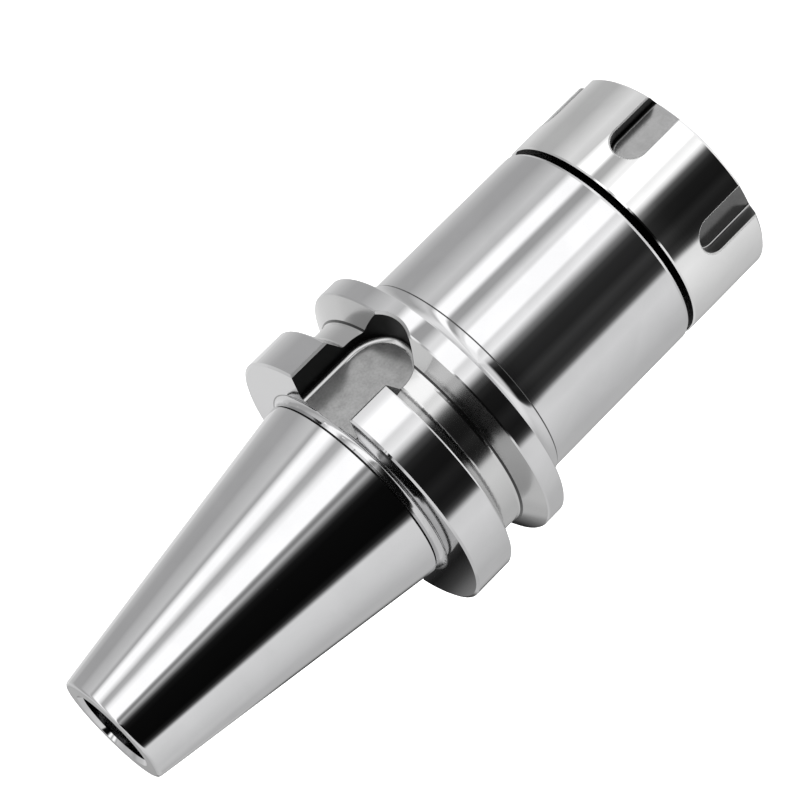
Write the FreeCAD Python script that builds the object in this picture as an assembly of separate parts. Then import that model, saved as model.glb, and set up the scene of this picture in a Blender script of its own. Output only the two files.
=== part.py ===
# Collet chuck tool holder: a steep-taper shank with a gripper flange, and a collet held by a slotted nut.
# Millimetres. The origin is on the axis at the gauge plane, where the taper is at its gauge diameter.
# +Z points to the small end of the taper. The nut's front face is the lowest point.
import FreeCAD
import Part
import math
import os

# Steep taper shank
gauge_radius = 22.225
taper_length = 66.0
taper_per_length = 7.0 / 48.0          # radius lost per millimetre, the half of 7 in 24
rim_round = 0.8                        # rounded edge of the small end

# Holes in the small end, for the pull stud
countersink_radius = 9.3
pilot_radius = 8.5
pilot_depth = 8.0
stud_thread_radius = 7.0               # core of an M16 thread
stud_thread_length = 30.0
coolant_radius = 4.5

# Relief between the taper and the flange
taper_end = -0.15                      # a little in front of the gauge plane
run_out_radius = 21.4                  # narrow groove where the grinding of the taper ends
run_out_width = 0.45
neck_radius = 22.0
neck_fillet = 1.2

# Flange with the gripper groove
flange_radius = 31.5
flange_rear = -2.35
flange_front = -27.0
flange_rear_chamfer = 0.65
flange_rear_chamfer_length = 0.35      # along the axis
flange_front_chamfer = 0.3
groove_rear_edge = -11.75
groove_front_edge = -22.4
groove_depth = 5.0
groove_half_angle = 30.0               # each flank, from the plane across the axis
groove_edge_break = 0.2
groove_root_fillet = 1.0

# Two drive slots across the flange, one on -Y and one on +Y
drive_width = 16.1
drive_floor = 22.6                     # floor's distance from the axis
drive_end = -23.5
drive_corner = 1.3                     # radius between the floor and the walls
drive_bevel = 0.5

# Body in front of the flange
body_radius = 25.0
body_front = -70.7
body_front_chamfer = 0.25
body_front_chamfer_length = 0.55        # along the axis
root_fillet = 4.7
root_step = 0.25                       # left where the ground body starts

# Nose that the nut screws on to
nose_radius = 19.45                    # mean radius of the M40 x 1.5 thread
nose_front = -85.6
nose_chamfer = 1.0
undercut_radius = 18.4
undercut_width = 2.0

# Collet
collet_length = 40.0
collet_front = -94.6
collet_radius = 16.5                   # at the nose's front face, where its long cone starts
collet_cone_angle = 8.0                # from the axis
collet_collar = 2.0                    # parallel part in front of the long cone
collet_groove_depth = 2.0              # below the head
collet_groove_width = 2.8
collet_head_radius = 15.6
collet_head_land = 0.9
head_cone_angle = 30.0                 # from the axis
collet_bore_radius = 10.0
collet_rear_chamfer = 0.6
bore_chamfer = 0.4
slit_width = 1.0
slits_per_end = 8
slit_bridge = 4.2                      # metal left at the end of each slit
slit_run_out = 1.0                     # how far the saw runs past the metal
cone_clearance = 0.05

# Bores behind the collet
socket_rear = -51.8
shank_bore_radius = 10.5
shank_bore_rear = -38.0
stop_thread_radius = 8.5               # mean radius of the stop screw's thread
stop_thread_rear = -8.0
thread_clearance = 0.05
drill_point_angle = 59.0               # from the axis, at the ends of the drilled holes

# Clamping nut
nut_radius = 25.0
nut_rear = -72.3
nut_front = -95.1
nut_face_radius = 20.5                 # of its flat front face
nut_front_slope = 22.5                 # outside the flat face, from the plane across the axis
nut_rear_chamfer = 0.3
nut_front_chamfer = 0.65
nut_entry_chamfer = 0.8
nut_chamber_front = -87.3
nut_mouth_chamfer = 0.3
nut_slots = 6
nut_slot_width = 7.75
nut_slot_end = -79.4
nut_slot_floor = 20.9                  # floor's distance from the axis
nut_slot_corner = 0.6
nut_slot_bevel = 0.3
nut_slot_turn = -9.6                   # degrees from the drive slot on -Y to the nearest nut slot

# Extraction ring, pressed into the nut
ring_rear = -87.9
ring_front = -90.2
ring_thin_side = 1.1
ring_clearance = 0.3                   # between the collet's head and the ring's thin side
ring_offset = 0.9                      # its bore's centre beside the axis
ring_edge = 0.3

# Stop screw in the bore behind the collet
stop_rear = -22.0
stop_front = -36.0
stop_chamfer = 0.8
hex_across_flats = 8.0
hex_depth = 6.0
stop_hole_radius = 2.5

run_out = 1.0                          # how far a cutter starts outside the face that it enters

X = FreeCAD.Vector(1, 0, 0)
Y = FreeCAD.Vector(0, 1, 0)
Z = FreeCAD.Vector(0, 0, 1)
centre = FreeCAD.Vector(0, 0, 0)


def at(radius, height):
    """Point of a half section."""
    return FreeCAD.Vector(radius, 0, height)


def fillet_arc(start, end, middle_of_circle):
    """Arc from start to end around a centre, the short way."""
    radius = start.distanceToPoint(middle_of_circle)
    way = (start + end) * 0.5 - middle_of_circle
    way.normalize()
    return Part.Arc(start, middle_of_circle + way * radius, end).toShape()


def drill_point(wide, narrow):
    """Length of the cone that a drill leaves between two radii."""
    return (wide - narrow) / math.tan(math.radians(drill_point_angle))


def turned(corners):
    """Turned solid from the corners of its closed half section.

    A corner given as a pair starts an arc: the second point is the centre of its circle.
    """
    starts = [corner[0] if isinstance(corner, tuple) else corner for corner in corners]
    sides = []
    for corner, start, end in zip(corners, starts, starts[1:] + starts[:1]):
        if isinstance(corner, tuple):
            sides.append(fillet_arc(start, end, corner[1]))
        else:
            sides.append(Part.LineSegment(start, end).toShape())
    return Part.Face(Part.Wire(sides)).revolve(centre, Z, 360)


def edges_where(solid, wanted):
    """Edges of which the ends and three points between all meet the condition."""
    found = []
    for edge in solid.Edges:
        points = edge.discretize(5)
        if all(wanted(point) for point in points):
            found.append(edge)
    return found


def around(point):
    """Distance from the axis."""
    return math.hypot(point.x, point.y)


def side_cutter(width, floor, outside, end, opening, corner):
    """Cutter for a slot in the -Y side: flat floor, round end, open towards the height `opening`.

    floor and outside are its lowest and highest distance from the axis.
    """
    half = width / 2
    way = 1 if opening > end else -1
    round_centre = end + way * half
    tip = FreeCAD.Vector(0, -floor, end)
    near = FreeCAD.Vector(-half, -floor, round_centre)
    far = FreeCAD.Vector(half, -floor, round_centre)
    near_mouth = FreeCAD.Vector(-half, -floor, opening)
    far_mouth = FreeCAD.Vector(half, -floor, opening)
    outline = Part.Wire([
        Part.Arc(near, tip, far).toShape(),
        Part.LineSegment(far, far_mouth).toShape(),
        Part.LineSegment(far_mouth, near_mouth).toShape(),
        Part.LineSegment(near_mouth, near).toShape(),
    ])
    cutter = Part.Face(outline).extrude(FreeCAD.Vector(0, floor - outside, 0))

    def on_floor_rim(point):
        return abs(point.y + floor) < 1e-6

    rim = [edge for edge in edges_where(cutter, on_floor_rim) if abs(edge.CenterOfMass.z - opening) > 1e-6]
    return cutter.makeFillet(corner, rim)


def taper_radius(height):
    return gauge_radius - height * taper_per_length


def collet_cone_radius(height):
    """Long cone of the collet, thinner towards the taper shank."""
    return collet_radius - (height - nose_front) * math.tan(math.radians(collet_cone_angle))


def head_cone_radius(height):
    """Short cone on the collet's head, thinner towards the front."""
    land_front = head_rear - collet_head_land
    return collet_head_radius - (land_front - height) * math.tan(math.radians(head_cone_angle))


head_rear = nose_front - collet_collar - collet_groove_width
collet_rear = collet_front + collet_length
collet_groove_radius = collet_head_radius - collet_groove_depth
ring_bore_radius = collet_head_radius + ring_clearance - ring_offset
ring_outer_radius = ring_bore_radius + ring_offset + ring_thin_side
groove_radius = flange_radius - groove_depth


def holder_body():
    flank = groove_depth * math.tan(math.radians(groove_half_angle))
    edge_flank = groove_edge_break * math.tan(math.radians(groove_half_angle))
    root_radius = body_radius + root_step
    stud_thread_end = taper_length - pilot_depth - stud_thread_length
    socket_radius_front = collet_cone_radius(nose_front) + cone_clearance
    socket_radius_rear = collet_cone_radius(socket_rear) + cone_clearance
    stop_bore_radius = stop_thread_radius + thread_clearance
    neck_centre = at(neck_radius + neck_fillet, flange_rear + neck_fillet)
    root_centre = at(root_radius + root_fillet, flange_front - root_fillet)
    corners = [
        at(countersink_radius, taper_length),
        at(taper_radius(taper_length), taper_length),
        at(taper_radius(taper_end), taper_end),
        at(run_out_radius, taper_end),
        at(run_out_radius, taper_end - run_out_width),
        at(neck_radius, taper_end - run_out_width),
        (at(neck_radius, flange_rear + neck_fillet), neck_centre),
        at(neck_radius + neck_fillet, flange_rear),
        at(flange_radius - flange_rear_chamfer, flange_rear),
        at(flange_radius, flange_rear - flange_rear_chamfer_length),
        at(flange_radius, groove_rear_edge + groove_edge_break),
        at(flange_radius - groove_edge_break, groove_rear_edge - edge_flank),
        at(groove_radius, groove_rear_edge - flank),
        at(groove_radius, groove_front_edge + flank),
        at(flange_radius - groove_edge_break, groove_front_edge + edge_flank),
        at(flange_radius, groove_front_edge - groove_edge_break),
        at(flange_radius, flange_front + flange_front_chamfer),
        at(flange_radius - flange_front_chamfer, flange_front),
        (at(root_radius + root_fillet, flange_front), root_centre),
        at(root_radius, flange_front - root_fillet),
        at(body_radius, flange_front - root_fillet - root_step),
        at(body_radius, body_front + body_front_chamfer_length),
        at(body_radius - body_front_chamfer, body_front),
        at(undercut_radius, body_front),
        at(undercut_radius, body_front - undercut_width),
        at(nose_radius, body_front - undercut_width - (nose_radius - undercut_radius)),
        at(nose_radius, nose_front + nose_chamfer),
        at(nose_radius - nose_chamfer, nose_front),
        at(socket_radius_front, nose_front),
        at(socket_radius_rear, socket_rear),
        at(shank_bore_radius, socket_rear),
        at(shank_bore_radius, shank_bore_rear),
        at(stop_bore_radius, shank_bore_rear + drill_point(shank_bore_radius, stop_bore_radius)),
        at(stop_bore_radius, stop_thread_rear),
        at(coolant_radius, stop_thread_rear + drill_point(stop_bore_radius, coolant_radius)),
        at(coolant_radius, stud_thread_end - drill_point(stud_thread_radius, coolant_radius)),
        at(stud_thread_radius, stud_thread_end),
        at(stud_thread_radius, taper_length - pilot_depth),
        at(pilot_radius, taper_length - pilot_depth),
        at(pilot_radius, taper_length - (countersink_radius - pilot_radius)),
    ]
    body = turned(corners)

    def on_small_rim(point):
        return abs(point.z - taper_length) < 1e-6 and around(point) > countersink_radius + 1e-3

    def on_groove_root(point):
        return groove_front_edge < point.z < groove_rear_edge and abs(around(point) - groove_radius) < 1e-4

    roots = [edge for edge in edges_where(body, on_groove_root) if edge.BoundBox.ZLength < 1e-6]
    body = body.makeFillet(groove_root_fillet, roots)
    body = body.makeFillet(rim_round, edges_where(body, on_small_rim))

    outside = flange_radius + run_out
    mouth = flange_rear + run_out
    slot = side_cutter(drive_width, drive_floor, outside, drive_end, mouth, drive_corner)
    for turn in (0, 180):
        body = body.cut(slot.rotated(centre, Z, turn))

    def on_drive_slot_rim(point):
        return abs(around(point) - flange_radius) < 1e-4 and abs(point.x) < drive_width / 2 + 1e-4

    return body.makeChamfer(drive_bevel, edges_where(body, on_drive_slot_rim))


def collet():
    groove_rear = nose_front - collet_collar
    corners = [
        at(collet_bore_radius, collet_rear - bore_chamfer),
        at(collet_bore_radius + bore_chamfer, collet_rear),
        at(collet_cone_radius(collet_rear) - collet_rear_chamfer, collet_rear),
        at(collet_cone_radius(collet_rear - collet_rear_chamfer), collet_rear - collet_rear_chamfer),
        at(collet_radius, nose_front),
        at(collet_radius, groove_rear),
        at(collet_groove_radius, groove_rear),
        at(collet_groove_radius, head_rear),
        at(collet_head_radius, head_rear),
        at(collet_head_radius, head_rear - collet_head_land),
        at(head_cone_radius(collet_front), collet_front),
        at(collet_bore_radius + bore_chamfer, collet_front),
        at(collet_bore_radius, collet_front + bore_chamfer),
    ]
    shape = turned(corners)
    # Slits in pairs across the axis, sawn from the two ends in turn.
    half = collet_radius + slit_run_out
    depth = collet_length - slit_bridge
    pitch = 360.0 / slits_per_end
    corner = FreeCAD.Vector(-half, -slit_width / 2, collet_front - slit_run_out)
    front_saw = Part.makeBox(2 * half, slit_width, depth + slit_run_out, corner)
    corner = FreeCAD.Vector(-half, -slit_width / 2, collet_rear - depth)
    rear_saw = Part.makeBox(2 * half, slit_width, depth + slit_run_out, corner)
    for number in range(slits_per_end // 2):
        shape = shape.cut(front_saw.rotated(centre, Z, pitch * number))
        shape = shape.cut(rear_saw.rotated(centre, Z, pitch * (number + 0.5)))
    return shape


def clamping_nut():
    bore = nose_radius + thread_clearance
    cone_rear = head_cone_radius(ring_front) + cone_clearance
    cone_front = head_cone_radius(nut_front) + cone_clearance
    rim_radius = nut_radius - nut_front_chamfer
    rim = nut_front + (rim_radius - nut_face_radius) * math.tan(math.radians(nut_front_slope))
    corners = [
        at(bore + nut_entry_chamfer, nut_rear),
        at(nut_radius - nut_rear_chamfer, nut_rear),
        at(nut_radius, nut_rear - nut_rear_chamfer),
        at(nut_radius, rim + nut_front_chamfer),
        at(rim_radius, rim),
        at(nut_face_radius, nut_front),
        at(cone_front + nut_mouth_chamfer, nut_front),
        at(head_cone_radius(nut_front + nut_mouth_chamfer) + cone_clearance, nut_front + nut_mouth_chamfer),
        at(cone_rear, ring_front),
        at(ring_outer_radius, ring_front),
        at(ring_outer_radius, nut_chamber_front),
        at(bore, nut_chamber_front),
        at(bore, nut_rear - nut_entry_chamfer),
    ]
    nut = turned(corners)
    outside = nut_radius + run_out
    mouth = nut_front - run_out
    slot = side_cutter(nut_slot_width, nut_slot_floor, outside, nut_slot_end, mouth, nut_slot_corner)
    for number in range(nut_slots):
        nut = nut.cut(slot.rotated(centre, Z, nut_slot_turn + number * 360.0 / nut_slots))

    def on_slot_rim(point):
        on_side = abs(around(point) - nut_radius) < 1e-4
        return on_side and rim + nut_front_chamfer - 1e-6 < point.z < nut_slot_end + 1e-6

    sides = [edge for edge in edges_where(nut, on_slot_rim) if edge.BoundBox.ZLength > 1e-3]
    return nut.makeChamfer(nut_slot_bevel, sides)


def extraction_ring():
    corners = [
        at(0, ring_rear),
        at(ring_outer_radius - ring_edge, ring_rear),
        at(ring_outer_radius, ring_rear - ring_edge),
        at(ring_outer_radius, ring_front),
        at(0, ring_front),
    ]
    beside = FreeCAD.Vector(ring_offset, 0, ring_front)
    bore = Part.makeCylinder(ring_bore_radius, ring_rear - ring_front, beside)
    ring = turned(corners).cut(bore)

    def on_bore_rim(point):
        return abs(math.hypot(point.x - ring_offset, point.y) - ring_bore_radius) < 1e-4

    rims = [edge for edge in edges_where(ring, on_bore_rim) if edge.BoundBox.ZLength < 1e-6]
    return ring.makeChamfer(ring_edge, rims)


def stop_screw():
    corners = [
        at(stop_hole_radius, stop_rear),
        at(stop_thread_radius - stop_chamfer, stop_rear),
        at(stop_thread_radius, stop_rear - stop_chamfer),
        at(stop_thread_radius, stop_front + stop_chamfer),
        at(stop_thread_radius - stop_chamfer, stop_front),
        at(stop_hole_radius, stop_front),
    ]
    screw = turned(corners)
    reach = hex_across_flats / math.sqrt(3)
    points = []
    for number in range(7):
        angle = math.radians(60 * number)
        points.append(FreeCAD.Vector(reach * math.cos(angle), reach * math.sin(angle), stop_front))
    socket = Part.Face(Part.makePolygon(points)).extrude(Z * hex_depth)
    return screw.cut(socket)


os.makedirs("parts", exist_ok=True)
for maker in (holder_body, collet, clamping_nut, extraction_ring, stop_screw):
    solid = maker()
    if solid.ShapeType != "Solid":
        solid = solid.Solids[0]
    solid.exportStep("parts/" + maker.__name__ + ".step")
    print(maker.__name__, round(solid.Volume, 1), solid.isValid(), len(solid.Faces))
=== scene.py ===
import bpy
import math
from mathutils import Matrix, Vector


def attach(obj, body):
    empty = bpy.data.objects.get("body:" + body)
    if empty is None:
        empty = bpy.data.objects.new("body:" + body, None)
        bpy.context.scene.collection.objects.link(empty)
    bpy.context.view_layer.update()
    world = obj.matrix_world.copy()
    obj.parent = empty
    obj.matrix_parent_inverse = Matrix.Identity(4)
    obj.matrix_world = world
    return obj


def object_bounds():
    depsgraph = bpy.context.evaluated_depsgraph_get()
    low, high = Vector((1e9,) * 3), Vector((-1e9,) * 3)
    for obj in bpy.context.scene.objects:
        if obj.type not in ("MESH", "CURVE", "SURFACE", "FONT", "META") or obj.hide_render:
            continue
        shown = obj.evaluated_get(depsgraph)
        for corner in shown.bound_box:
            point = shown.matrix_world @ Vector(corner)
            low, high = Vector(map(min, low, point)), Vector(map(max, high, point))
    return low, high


# Collet chuck tool holder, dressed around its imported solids. Metres, +Z towards the small end of the taper.
# Sizes and places in the dictionaries are millimetres.

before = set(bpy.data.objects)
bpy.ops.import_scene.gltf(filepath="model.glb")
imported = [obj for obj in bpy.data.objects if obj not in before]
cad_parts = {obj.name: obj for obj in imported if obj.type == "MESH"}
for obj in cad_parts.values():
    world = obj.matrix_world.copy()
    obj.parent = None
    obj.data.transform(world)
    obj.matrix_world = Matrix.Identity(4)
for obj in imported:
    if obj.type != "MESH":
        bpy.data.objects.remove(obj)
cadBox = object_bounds()
scene = bpy.context.scene
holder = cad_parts["holder_body"]
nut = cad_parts["clamping_nut"]
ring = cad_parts["extraction_ring"]
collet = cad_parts["collet"]
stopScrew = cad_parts["stop_screw"]
mm = 0.001
print("frame loaded")


def addNode(tree, kind, inputs=None, **settings):
    item = tree.nodes.new("ShaderNode" + kind)
    for name, value in settings.items():
        setattr(item, name, value)
    for key, value in (inputs or {}).items():
        socket = item.inputs[key]
        if isinstance(value, bpy.types.NodeSocket):
            tree.links.new(value, socket)
        else:
            socket.default_value = value
    return item


def hexToLinear(code):
    parts = [int(code[i:i + 2], 16) / 255 for i in (0, 2, 4)]
    parts = [p / 12.92 if p <= 0.04045 else ((p + 0.055) / 1.055) ** 2.4 for p in parts]
    return (*parts, 1.0)


# Camera: above the holder's side, rolled so that the axis runs across the picture
photoCamera = {
    "azimuth": -33.5,      # degrees, from -Y towards -X
    "elevation": 14.87,
    "roll": -134.89,
    "distance": 648.0,     # from the point that it looks at
    "aside": 5.90,         # that this point lies to the right of the axis
    "height": -19.81,
    "lens": 148.67,        # on a 36 mm sensor
}


def cameraAxes(setup):
    azimuth = math.radians(setup["azimuth"])
    elevation = math.radians(setup["elevation"])
    right = Vector((math.cos(azimuth), math.sin(azimuth), 0))
    flat = Vector((math.sin(azimuth), -math.cos(azimuth), 0))
    back = flat * math.cos(elevation) + Vector((0, 0, math.sin(elevation)))
    return right, flat, back


def makeCamera(setup):
    data = bpy.data.cameras.new("photo_camera")
    camera = bpy.data.objects.new("photo_camera", data)
    scene.collection.objects.link(camera)
    data.sensor_fit = "HORIZONTAL"
    data.sensor_width = 36.0
    data.lens = setup["lens"]
    data.clip_start = 0.05
    data.clip_end = 60.0
    right, flat, back = cameraAxes(setup)
    up = back.cross(right)
    roll = math.radians(setup["roll"])
    place = (back * setup["distance"] + right * setup["aside"] + Vector((0, 0, setup["height"]))) * mm
    across = right * math.cos(roll) + up * math.sin(roll)
    along = up * math.cos(roll) - right * math.sin(roll)
    turn = Matrix((across, along, back)).transposed().to_4x4()
    camera.matrix_world = Matrix.Translation(place) @ turn
    scene.camera = camera
    return camera


makeCamera(photoCamera)
scene.view_settings.view_transform = "Standard"
print("camera set")


# Studio: a white room in which upright strips of light and black card stand round the holder.
# Each strip is degrees round the room from the camera's side towards its right, and how bright it looks.
# The levels were set by comparing how bright the steel is in the picture and in the render.
studio = {
    "lowStrips": [         # below eye level, as the parallel sides reflect them
        (-180, 0.50), (-150, 0.65), (-128, 0.69), (-112, 0.74), (-80, 0.82), (-65, 0.80),
        (-60, 0.34), (-56, 0.20), (-49, 0.16), (-40, 0.21), (-32, 0.14), (-20, 0.16), (-14, 0.24),
        (-8, 0.49), (-4, 0.75), (0, 0.95), (8, 0.86), (11, 1.02), (27, 1.02), (30, 0.88), (34, 0.88),
        (42, 0.62), (48.5, 0.62), (53, 1.02), (63, 1.02), (70, 0.73), (80, 0.78), (104, 0.63),
        (124, 0.63), (150, 0.73), (168, 0.72), (180, 0.50),
    ],
    "highStrips": [        # above eye level, as the taper reflects them
        (-180, 0.62), (-150, 0.72), (-112, 0.75), (-88, 0.80), (-65, 0.83), (-60, 0.30), (-56, 0.10),
        (-50, 0.03), (-18, 0.04), (-10, 0.08), (-6, 0.20), (-2, 0.48), (1, 0.68), (5, 0.46), (8, 0.62),
        (10.5, 1.02), (28, 1.02), (34, 0.93), (40, 0.69), (46, 0.66), (50, 0.86), (56, 1.02), (64, 1.02),
        (68, 0.88), (72, 0.63), (78, 0.76), (96, 0.69), (104, 0.62), (128, 0.62), (136, 0.71),
        (160, 0.76), (180, 0.60),
    ],
    "blackStrips": (-62.0, -9.0),  # what the black strips span, in degrees round the room
    "bodyRows": (-19.9, -16.8),    # elevations that the body reflects
    "shade": 0.38,         # how much light the black strips keep above and below those rows
    "rowsFade": 0.5,       # degrees over which that begins and ends
    "stripsFade": 5.0,
    "tableTop": -64.0,     # degrees of elevation at which the white table begins
    "stripFoot": -46.0,
    "tableLevel": 0.93,
    "tableShare": 0.75,    # the strips still show faintly in the table
    "eyeLevel": (-3.0, 0.0),       # the low strips turn into the high ones here
    "stripHead": 42.0,
    "ceiling": 62.0,       # the strips on the camera's side reach the zenith, the others end here
    "ceilingEdge": (0.1, -0.6),    # where the ceiling begins, as a share of the way towards the camera
    "ceilingLevel": 0.84,
    "gain": 1.60,          # against what the steel takes away
    "floorColour": "FCFCFC",
    "floorRoughness": 0.9,
    "floorGlow": 0.95,
    "floorHalf": 8.0,      # metres
}


def displayToLight(level):
    return level / 12.92 if level <= 0.04045 else ((level + 0.055) / 1.055) ** 2.4


def makeRamp(tree, value, stops):
    start, end = stops[0][0], stops[-1][0]
    share = addNode(tree, "MapRange", {0: value, 1: start, 2: end}).outputs[0]
    ramp = addNode(tree, "ValToRGB", {0: share})
    marks = ramp.color_ramp.elements
    while len(marks) > 1:
        marks.remove(marks[0])
    for number, (place, level) in enumerate(stops):
        spot = (place - start) / (end - start)
        mark = marks[0] if number == 0 else marks.new(spot)
        mark.position = spot
        light = displayToLight(level)
        mark.color = (light, light, light, 1)
    return ramp.outputs[0]


def band(tree, value, low, high, soft):
    # 1 between low and high, falling to 0 over the soft width outside them
    rise = addNode(tree, "MapRange", {0: value, 1: low - soft, 2: low}).outputs[0]
    return addNode(tree, "MapRange", {0: value, 1: high, 2: high + soft, 3: rise, 4: 0.0}).outputs[0]


def both(tree, first, second):
    return addNode(tree, "Math", {0: first, 1: second}, operation="MULTIPLY").outputs[0]


def blend(tree, share, first, second, **settings):
    return addNode(tree, "Mix", {0: share, 6: first, 7: second}, data_type="RGBA", **settings).outputs[2]


def makeRoom(setup):
    world = bpy.data.worlds.new("studio_room")
    scene.world = world
    world.use_nodes = True
    tree = world.node_tree
    tree.nodes.clear()
    place = addNode(tree, "TexCoord").outputs["Generated"]
    facing = math.radians(photoCamera["azimuth"])
    turned = addNode(tree, "VectorRotate", {"Vector": place, "Angle": -facing}, rotation_type="Z_AXIS")
    way = addNode(tree, "SeparateXYZ", {0: turned.outputs[0]})
    towards = addNode(tree, "Math", {0: way.outputs["Y"], 1: -1.0}, operation="MULTIPLY")
    angle = addNode(tree, "Math", {0: way.outputs["X"], 1: towards.outputs[0]}, operation="ARCTAN2")
    degrees = addNode(tree, "Math", {0: angle.outputs[0]}, operation="DEGREES").outputs[0]
    rise = addNode(tree, "Math", {0: way.outputs["Z"]}, operation="ARCSINE").outputs[0]
    low = makeRamp(tree, degrees, setup["lowStrips"])
    high = makeRamp(tree, degrees, setup["highStrips"])

    def step(start, end, least=0.0):
        limits = {0: rise, 1: math.radians(start), 2: math.radians(end), 3: least}
        return addNode(tree, "MapRange", limits, interpolation_type="SMOOTHSTEP").outputs[0]

    def plain(level):
        light = displayToLight(level)
        return (light, light, light, 1)

    rowStart, rowEnd = (math.radians(limit) for limit in setup["bodyRows"])
    bodyRows = band(tree, rise, rowStart, rowEnd, math.radians(setup["rowsFade"]))
    notBody = addNode(tree, "Math", {0: 1.0, 1: bodyRows}, operation="SUBTRACT").outputs[0]
    deeper = both(tree, notBody, band(tree, degrees, *setup["blackStrips"], setup["stripsFade"]))
    shade = setup["shade"]
    shaded = blend(tree, deeper, low, (shade, shade, shade, 1), blend_type="MULTIPLY")
    strips = blend(tree, step(*setup["eyeLevel"]), shaded, high)
    fromTable = step(setup["tableTop"], setup["stripFoot"], 1 - setup["tableShare"])
    table = blend(tree, fromTable, plain(setup["tableLevel"]), strips)
    start, end = setup["ceilingEdge"]
    behind = addNode(tree, "MapRange", {0: towards.outputs[0], 1: start, 2: end},
                     interpolation_type="SMOOTHSTEP").outputs[0]
    above = both(tree, step(setup["stripHead"], setup["ceiling"]), behind)
    whole = blend(tree, above, table, plain(setup["ceilingLevel"]))
    lit = addNode(tree, "Background", {"Color": whole, "Strength": setup["gain"]})
    white = addNode(tree, "Background", {"Color": (1, 1, 1, 1), "Strength": 1.0})
    seen = addNode(tree, "LightPath").outputs["Is Camera Ray"]
    mixed = addNode(tree, "MixShader", {0: seen, 1: lit.outputs[0], 2: white.outputs[0]})
    addNode(tree, "OutputWorld", {"Surface": mixed.outputs[0]})


makeRoom(studio)


def makeFloor(setup):
    half = setup["floorHalf"]
    height = cadBox[0].z
    mesh = bpy.data.meshes.new("studio_floor")
    corners = [(-half, -half, height), (half, -half, height), (half, half, height), (-half, half, height)]
    mesh.from_pydata(corners, [], [(0, 1, 2, 3)])
    floor = bpy.data.objects.new("studio_floor", mesh)
    scene.collection.objects.link(floor)
    material = bpy.data.materials.new("white paper floor")
    material.use_nodes = True
    shader = material.node_tree.nodes["Principled BSDF"]
    shader.inputs["Base Color"].default_value = hexToLinear(setup["floorColour"])
    shader.inputs["Roughness"].default_value = setup["floorRoughness"]
    shader.inputs["Emission Color"].default_value = (1, 1, 1, 1)
    shader.inputs["Emission Strength"].default_value = setup["floorGlow"]
    mesh.materials.append(material)
    floor.visible_glossy = False
    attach(floor, "nut")                      # stays under the nut's face when the nut comes off
    return floor


# Card behind the holder, dark on the side of the camera's left hand. The flange's faces mirror it.
# Its shades are given across from the axis, for its upper and its lower part.
backCard = {
    "behind": 150.0,
    "half": 120.0,
    "bottom": -62.0,
    "top": 95.0,
    "soft": 16.0,          # width over which its upper and lower edges fade
    "change": (14.0, 30.0),  # heights between which the lower part turns into the upper
    "upper": [
        (-120, 0.66), (-80, 0.66), (-60, 0.60), (-48, 0.52), (-39, 0.42), (-35, 0.20), (-31, 0.05),
        (-28.5, 0.16), (-25, 0.36), (-20, 0.50), (18, 0.62), (24, 0.77), (120, 0.78),
    ],
    "lower": [
        (-120, 0.66), (-100, 0.62), (-85, 0.52), (-69, 0.34), (-53, 0.13), (-30, 0.05), (24, 0.66),
        (40, 0.77), (120, 0.78),
    ],
}


def makeBackCard(setup):
    right, flat, back = cameraAxes(photoCamera)
    mesh = bpy.data.meshes.new("studio_back_card")
    corners = []
    for side, height in ((-1, setup["bottom"]), (1, setup["bottom"]), (1, setup["top"]), (-1, setup["top"])):
        corners.append((right * side * setup["half"] - flat * setup["behind"] + Vector((0, 0, height))) * mm)
    mesh.from_pydata(corners, [], [(0, 1, 2, 3)])
    card = bpy.data.objects.new("studio_back_card", mesh)
    scene.collection.objects.link(card)
    material = bpy.data.materials.new("shaded card")
    material.use_nodes = True
    tree = material.node_tree
    tree.nodes.clear()
    place = addNode(tree, "TexCoord").outputs["Object"]
    place = addNode(tree, "VectorMath", {0: place, "Scale": 1 / mm}, operation="SCALE").outputs[0]
    across = addNode(tree, "VectorMath", {0: place, 1: right}, operation="DOT_PRODUCT").outputs["Value"]
    height = addNode(tree, "SeparateXYZ", {0: place}).outputs["Z"]
    part = addNode(tree, "MapRange", {0: height, 1: setup["change"][0], 2: setup["change"][1]}).outputs[0]
    shade = blend(tree, part, makeRamp(tree, across, setup["lower"]), makeRamp(tree, across, setup["upper"]))
    glow = addNode(tree, "Emission", {"Color": shade, "Strength": studio["gain"]})
    soft = setup["soft"]
    rows = band(tree, height, setup["bottom"] + soft, setup["top"] - soft, soft)
    columns = band(tree, across, soft - setup["half"], setup["half"] - soft, soft)
    clear = addNode(tree, "BsdfTransparent")
    inside = both(tree, rows, columns)
    mixed = addNode(tree, "MixShader", {0: inside, 1: clear.outputs[0], 2: glow.outputs[0]})
    addNode(tree, "OutputMaterial", {"Surface": mixed.outputs[0]})
    mesh.materials.append(material)
    card.visible_camera = False
    card.visible_diffuse = False
    card.visible_shadow = False
    return card


makeFloor(studio)
makeBackCard(backCard)
print("studio built")


def distance(tree, along, crossSquare):
    square = addNode(tree, "Math", {0: along, 1: along, 2: crossSquare}, operation="MULTIPLY_ADD").outputs[0]
    return addNode(tree, "Math", {0: square}, operation="SQRT").outputs[0]


# Places on a piece, for the masks of its material
def findPlace(tree):
    place = addNode(tree, "TexCoord").outputs["Object"]
    place = addNode(tree, "VectorMath", {0: place, "Scale": 1 / mm}, operation="SCALE").outputs[0]
    parts = addNode(tree, "SeparateXYZ", {0: place}).outputs
    radius = distance(tree, parts["Y"], both(tree, parts["X"], parts["X"]))
    return {"vector": place, "x": parts["X"], "y": parts["Y"], "z": parts["Z"], "radius": radius}


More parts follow.
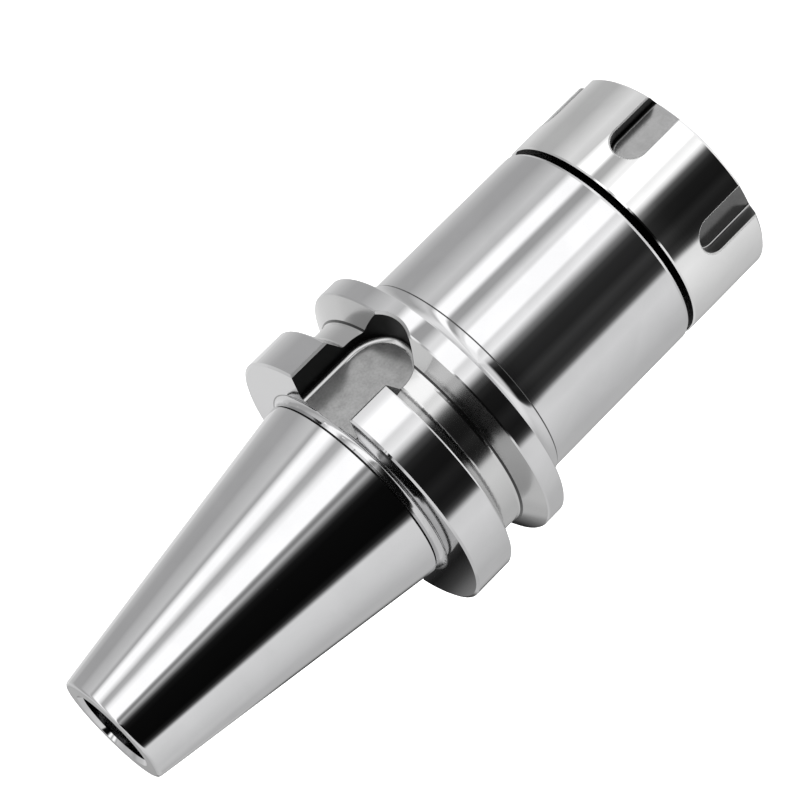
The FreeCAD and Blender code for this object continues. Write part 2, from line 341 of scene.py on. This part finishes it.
def paint(tree, finish, mask, colour, roughness, relief=1.0, metal=1.0):
    # the finish with another colour, roughness and share of its lines laid over it where the mask is 1
    newColour = blend(tree, mask, finish["colour"], colour)
    newRoughness = addNode(tree, "Mix", {0: mask, 2: finish["roughness"], 3: roughness}).outputs[0]
    newRelief = addNode(tree, "Mix", {0: mask, 2: finish["relief"], 3: relief}).outputs[0]
    newMetal = addNode(tree, "Mix", {0: mask, 2: finish["metal"], 3: metal}).outputs[0]
    return {"colour": newColour, "roughness": newRoughness, "relief": newRelief, "metal": newMetal}


def zone(tree, place, setup):
    soft = setup.get("soft", 0.04)
    heights = band(tree, place["z"], setup["heights"][0], setup["heights"][1], soft)
    radii = band(tree, place["radius"], setup["radii"][0], setup["radii"][1], soft)
    return both(tree, heights, radii)


# How a slot's masks run past its edges and how softly they end
slotEdges = {
    "sideSpare": 0.04, "bevelSpare": 0.03, "soft": 0.02,
    "below": 0.05, "rimSoft": 0.05,
    "floorSpare": 0.003, "floorSoft": 0.006,
    "cornerStart": 0.012, "cornerSoft": 0.009,
    "wallStart": 0.55, "wallSoft": 0.3,        # shares of the corner's height
    "far": 99.0,
}


def slotMasks(tree, place, setup):
    # distance across and outwards from the middle of the nearest slot of a ring of them
    back = addNode(tree, "Math", {0: place["y"], 1: -1.0}, operation="MULTIPLY").outputs[0]
    angle = addNode(tree, "Math", {0: place["x"], 1: back}, operation="ARCTAN2").outputs[0]
    pitch = 2 * math.pi / setup["count"]
    toStart = pitch / 2 - math.radians(setup["turn"])
    start = addNode(tree, "Math", {0: angle, 1: toStart}, operation="ADD").outputs[0]
    turned = addNode(tree, "Math", {0: start, 1: pitch}, operation="FLOORED_MODULO").outputs[0]
    side = addNode(tree, "Math", {0: turned, 1: pitch / 2}, operation="SUBTRACT").outputs[0]
    across = both(tree, place["radius"], addNode(tree, "Math", {0: side}, operation="SINE").outputs[0])
    outward = both(tree, place["radius"], addNode(tree, "Math", {0: side}, operation="COSINE").outputs[0])
    slotHere = {}
    # masks of the slots that get painted shade
    for shadedSlot in setup["shadedSlots"]:
        aim = math.radians(shadedSlot["turn"])
        slotHere[shadedSlot["turn"]] = band(tree, angle, aim - pitch / 2, aim + pitch / 2, 0.01)
    half = setup["width"] / 2
    roundCentre = setup["end"] + setup["way"] * half
    past = addNode(tree, "Math", {0: place["z"], 1: roundCentre}, operation="SUBTRACT").outputs[0]
    past = addNode(tree, "Math", {0: past, 1: -setup["way"]}, operation="MULTIPLY").outputs[0]
    past = addNode(tree, "Math", {0: past, 1: 0.0}, operation="MAXIMUM").outputs[0]
    reach = distance(tree, across, both(tree, past, past))
    floor, corner, rim = setup["floor"], setup["corner"], setup["rim"]
    edges = slotEdges
    soft, far = edges["soft"], edges["far"]
    inside = band(tree, reach, -1.0, half + edges["sideSpare"], soft)
    inside = both(tree, inside, band(tree, outward, floor - edges["below"], far, soft))
    inside = both(tree, inside, band(tree, place["radius"], 0.0, rim, edges["rimSoft"]))
    floorRows = band(tree, outward, -far, floor + edges["floorSpare"], edges["floorSoft"])
    cornerRows = band(tree, outward, floor + edges["cornerStart"], floor + corner, edges["cornerSoft"])
    wallRows = band(tree, outward, floor + corner * edges["wallStart"], far, corner * edges["wallSoft"])
    bevelReach = band(tree, reach, -1.0, half + setup["bevel"] + edges["bevelSpare"], soft)
    bevelRows = band(tree, place["radius"], rim + soft / 2, far, soft)
    return {
        "floor": both(tree, inside, floorRows),
        "corner": both(tree, inside, cornerRows),
        "wall": both(tree, inside, wallRows),
        "slotHere": slotHere,
        "bevel": both(tree, bevelReach, bevelRows),
    }


# Finishes. Every steel is bare metal: its colour is what it reflects, its roughness how its last cut left it.
groundSteel = {
    "name": "hardened tool steel, cylindrically ground and polished",
    "colour": "CBCBCC",
    "roughness": 0.035,
    "linePitch": 0.25,     # of the grinding lines round the axis, drawn about 5 times coarser than real
    "lineHeight": 0.0004,
    "mottle": 9.0,         # size of its faint patches
    "grain": 0.55,         # share of the blur that goes along the axis, across the lines
    "ringSkew": 1.37,      # keeps the lines of a flat face apart from those of a side
    "patchShades": (0.965, 1.02),
    "patchRoughness": (0.85, 1.15),
}
nutSteel = dict(groundSteel, name="hardened nut steel, turned, ground and polished", colour="E0E0E0")
ringSteel = dict(groundSteel, name="extraction ring steel, fine turned", colour="BEBCB8", roughness=0.2,
                 lineHeight=0.002)
colletSteel = dict(groundSteel, name="spring steel collet, ground and sawn", colour="B9B9BC", roughness=0.14,
                   lineHeight=0.001)
blackSteel = dict(groundSteel, name="black oxide screw steel", colour="2A2A2C", roughness=0.38,
                  lineHeight=0.002)

# Slots: a ring of them, "turn" being where the first stands, "way" where it opens along the axis
driveSlot = {
    "count": 2, "turn": 0.0, "way": 1,
    "width": 16.1, "floor": 22.6, "end": -23.5, "corner": 1.3, "rim": 31.0, "bevel": 0.5,
    "floorShades": (0.26, 0.36), "floorRoughness": 0.22, "floorMetal": 0.6,      # milled, satin
    "wallColour": "1C1C1C", "wallRoughness": 0.4,        # painted shade: the milled walls are darkened as if in shade
    "cornerColour": "B4B4B4", "bevelMetal": 1.0,
    "shadedSlots": [],
}
nutSlot = {
    "count": 6, "turn": -9.6, "way": -1,
    "width": 7.75, "floor": 20.9, "end": -79.4, "corner": 0.6, "rim": 24.7, "bevel": 0.3,
    "floorShades": (0.43, 0.51), "floorRoughness": 0.24, "floorMetal": 1.0,
    "wallColour": "DADADA", "wallRoughness": 0.4,
    # the corner colour is painted shade along the slots' inner corners
    "cornerColour": "808080", "bevelMetal": 0.35,        # deburred, hardly shiny
    "shadedSlots": [                # slots with painted shade on wall, corner and floor, in degrees round the axis
        {"turn": -9.6, "wall": "1A1A1A", "corner": "3A3A3A", "floor": 1.0},
        {"turn": -69.6, "wall": "8C8C8C", "corner": "A0A0A0", "floor": 0.27},
    ],
}
slotFinish = {
    "cornerRoughness": 0.22,
    "bevelColour": "BABABA", "bevelRoughness": 0.4, "bevelRelief": 0.3,
    "cloudSize": 1 / 0.35, "speckSize": 0.5, "speckShare": 0.6,      # of the mottling on a milled floor
    "mottleRange": (0.55, 1.05),
}

# Zones of a turned piece: between two heights and two radii, each with its own colour and roughness; several
# of them are painted shade in creases, gaps and bores
holderZones = [
    {"heights": (-2.5, -0.6), "radii": (23.2, 30.8),             # rear face of the flange, smooth
     "colour": "C8C8C9", "roughness": 0.085, "relief": 0.0},
    {"heights": (-2.5, -0.6), "radii": (21.9, 23.2),             # neck
     "colour": "C8C8C9", "roughness": 0.12, "relief": 0.0},
    {"heights": (-22.3, -11.8), "radii": (25.9, 31.35),          # gripper groove
     "colour": "C6C6C6", "roughness": 0.14, "relief": 0.0},
    {"heights": (-19.8, -19.45), "radii": (26.3, 27.3),          # root of the groove, painted shade in the crease
     "colour": "464646", "roughness": 0.3},
    {"heights": (-32.0, -31.66), "radii": (24.9, 25.3),          # where the ground body starts, painted shade along the step
     "colour": "505050", "roughness": 0.3},
    {"heights": (-0.62, -0.13), "radii": (0.0, 22.1),            # grinding run-out, with painted shade in its groove
     "colour": "484848", "roughness": 0.45},
    {"heights": (-2.5, -2.25), "radii": (23.15, 23.4),           # foot of the neck, painted shade where the fillet meets the face
     "colour": "8A8A8A", "roughness": 0.3},
    {"heights": (-74.2, -70.6), "radii": (0.0, 24.65),           # behind the nut, painted shade in the gap between body and nut
     "colour": "161616", "roughness": 0.5},
    {"heights": (-84.6, -74.0), "radii": (19.0, 19.9),           # nose thread
     "colour": "A8A8A8", "roughness": 0.25},
    {"heights": (-8.0, 58.0), "radii": (0.0, 8.2),               # bores and the pull stud's thread, painted shade inside them
     "colour": "6A6A6A", "roughness": 0.35, "soft": 0.3},
]
nutZones = [
    {"heights": (-87.3, -72.8), "radii": (0.0, 20.2),            # nut's thread
     "colour": "9A9A9A", "roughness": 0.3},
]


def paintSlots(tree, state, place, slots):
    masks = slotMasks(tree, place, slots)
    # the cutter's mottling on the floors, with fine specks
    cloud = addNode(tree, "TexNoise", {"Vector": place["vector"], "Scale": 1 / slotFinish["cloudSize"],
                                       "Detail": 5.0}).outputs[0]
    speck = addNode(tree, "TexNoise", {"Vector": place["vector"], "Scale": 1 / slotFinish["speckSize"],
                                       "Detail": 1.0}).outputs[0]
    mottle = addNode(tree, "Math", {0: speck, 1: slotFinish["speckShare"], 2: cloud},
                     operation="MULTIPLY_ADD").outputs[0]
    darkest, lightest = slots["floorShades"]
    low, high = slotFinish["mottleRange"]
    floorShade = addNode(tree, "MapRange", {0: mottle, 1: low, 2: high, 3: darkest, 4: lightest}).outputs[0]
    wallColour = hexToLinear(slots["wallColour"])
    cornerColour = hexToLinear(slots["cornerColour"])
    # painted shade: darker floor, wall and corner in the listed slots
    for shadedSlot in slots["shadedSlots"]:
        here = masks["slotHere"][shadedSlot["turn"]]
        darker = addNode(tree, "MapRange", {0: here, 3: 1.0, 4: shadedSlot["floor"]}).outputs[0]
        floorShade = both(tree, floorShade, darker)
        wallColour = blend(tree, here, wallColour, hexToLinear(shadedSlot["wall"]))
        cornerColour = blend(tree, here, cornerColour, hexToLinear(shadedSlot["corner"]))
    floorColour = addNode(tree, "CombineColor", {0: floorShade, 1: floorShade, 2: floorShade}).outputs[0]
    state = paint(tree, state, masks["floor"], floorColour, slots["floorRoughness"], 1.0, slots["floorMetal"])
    state = paint(tree, state, masks["corner"], cornerColour, slotFinish["cornerRoughness"])
    state = paint(tree, state, masks["wall"], wallColour, slots["wallRoughness"])
    return paint(tree, state, masks["bevel"], hexToLinear(slotFinish["bevelColour"]),
                 slotFinish["bevelRoughness"], slotFinish["bevelRelief"], slots["bevelMetal"])


def makeSteel(finish, zones=(), slots=None):
    material = bpy.data.materials.new(finish["name"].split(",")[0])
    material.use_nodes = True
    tree = material.node_tree
    shader = tree.nodes["Principled BSDF"]
    place = findPlace(tree)
    # grinding lines: one noise value for each ring, told apart by height and radius
    ringKey = addNode(tree, "Math", {0: place["radius"], 1: finish["ringSkew"], 2: place["z"]},
                      operation="MULTIPLY_ADD").outputs[0]
    lines = addNode(tree, "TexNoise", {"W": ringKey, "Scale": 1 / finish["linePitch"], "Detail": 2.0},
                    noise_dimensions="1D").outputs[0]
    # faint patches from handling and wiping
    patches = addNode(tree, "TexNoise", {"Vector": place["vector"], "Scale": 1 / finish["mottle"],
                                         "Detail": 3.0, "Distortion": 0.6}).outputs[0]
    darkest, lightest = finish["patchShades"]
    shade = addNode(tree, "MapRange", {0: patches, 1: 0.3, 2: 0.7, 3: darkest, 4: lightest}).outputs[0]
    colour = blend(tree, 1.0, hexToLinear(finish["colour"]), shade, blend_type="MULTIPLY")
    least, most = (finish["roughness"] * share for share in finish["patchRoughness"])
    rough = addNode(tree, "MapRange", {0: patches, 1: 0.3, 2: 0.7, 3: least, 4: most}).outputs[0]
    state = {"colour": colour, "roughness": rough, "relief": 1.0, "metal": 1.0}
    for setup in zones:
        state = paint(tree, state, zone(tree, place, setup), hexToLinear(setup["colour"]),
                      setup["roughness"], setup.get("relief", 1.0))
    if slots:
        state = paintSlots(tree, state, place, slots)
    bump = addNode(tree, "Bump", {"Strength": state["relief"], "Distance": finish["lineHeight"] * mm,
                                  "Height": lines})
    links = tree.links
    links.new(state["colour"], shader.inputs["Base Color"])
    links.new(state["roughness"], shader.inputs["Roughness"])
    links.new(bump.outputs[0], shader.inputs["Normal"])
    shader.inputs["Metallic"].default_value = 1.0
    if slots:
        links.new(state["metal"], shader.inputs["Metallic"])
    shader.inputs["Anisotropic"].default_value = finish["grain"]
    shader.inputs["Anisotropic Rotation"].default_value = 0.25       # a quarter turn, across the lines
    tangent = addNode(tree, "Tangent", direction_type="RADIAL", axis="Z")
    links.new(tangent.outputs[0], shader.inputs["Tangent"])
    return material


def dress(node, material):
    for number in range(len(node.data.materials)):
        node.data.materials[number] = material


dress(holder, makeSteel(groundSteel, holderZones, driveSlot))
dress(nut, makeSteel(nutSteel, nutZones, nutSlot))
dress(ring, makeSteel(ringSteel))
dress(collet, makeSteel(colletSteel))
dress(stopScrew, makeSteel(blackSteel))
print("steels made")


# Threads: one helical ridge each, standing on the plain diameter of its solid
noseThread = {
    "name": "nose_thread", "body": "holder", "slot": "holder_steel",
    "root": 19.43, "crest": 19.85, "pitch": 1.5, "low": -84.3, "high": -74.2,
}
nutThread = {
    "name": "nut_thread", "body": "nut", "slot": "nut_steel",
    "root": 19.52, "crest": 19.12, "pitch": 1.5, "low": -86.8, "high": -73.4,
}
studThread = {
    "name": "pull_stud_thread", "body": "holder", "slot": "holder_steel",
    "root": 7.02, "crest": 6.45, "pitch": 2.0, "low": 28.2, "high": 57.6,
}
stopThread = {
    "name": "stop_screw_thread", "body": "stop", "slot": "black_steel",
    "root": 8.48, "crest": 8.545, "pitch": 1.5, "low": -35.0, "high": -23.0,
}


def makeThread(setup, material):
    steps = 64                                 # a turn
    pitch = setup["pitch"]
    flank = pitch * 0.40                       # half the ridge's foot
    land = pitch * 0.08                        # half its crest
    turns = (setup["high"] - setup["low"] - 2 * flank) / pitch
    count = int(turns * steps)
    points = []
    faces = []
    for number in range(count + 1):
        angle = 2 * math.pi * number / steps
        height = setup["low"] + flank + pitch * number / steps
        ends = min(1.0, number / (steps / 4), (count - number) / (steps / 4))
        root = setup["root"]
        crest = root + (setup["crest"] - root) * ends
        for radius, offset in ((root, -flank), (crest, -land), (crest, land), (root, flank)):
            points.append(Vector((radius * math.cos(angle), radius * math.sin(angle), height + offset)) * mm)
    outward = setup["crest"] > setup["root"]
    for number in range(count):
        first = number * 4
        for side in range(3):
            corners = [first + side, first + 4 + side, first + 5 + side, first + 1 + side]
            faces.append(corners if outward else corners[::-1])
    mesh = bpy.data.meshes.new(setup["name"])
    mesh.from_pydata(points, [], faces)
    mesh.materials.append(material)
    piece = bpy.data.objects.new(setup["name"], mesh)
    scene.collection.objects.link(piece)
    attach(piece, setup["body"])
    return piece


threadSteel = makeSteel(dict(groundSteel, name="ground thread flanks", colour="B0B0B0", roughness=0.25))
makeThread(noseThread, threadSteel)
makeThread(nutThread, threadSteel)
makeThread(studThread, threadSteel)
makeThread(stopThread, stopScrew.data.materials[0])
print("threads cut")
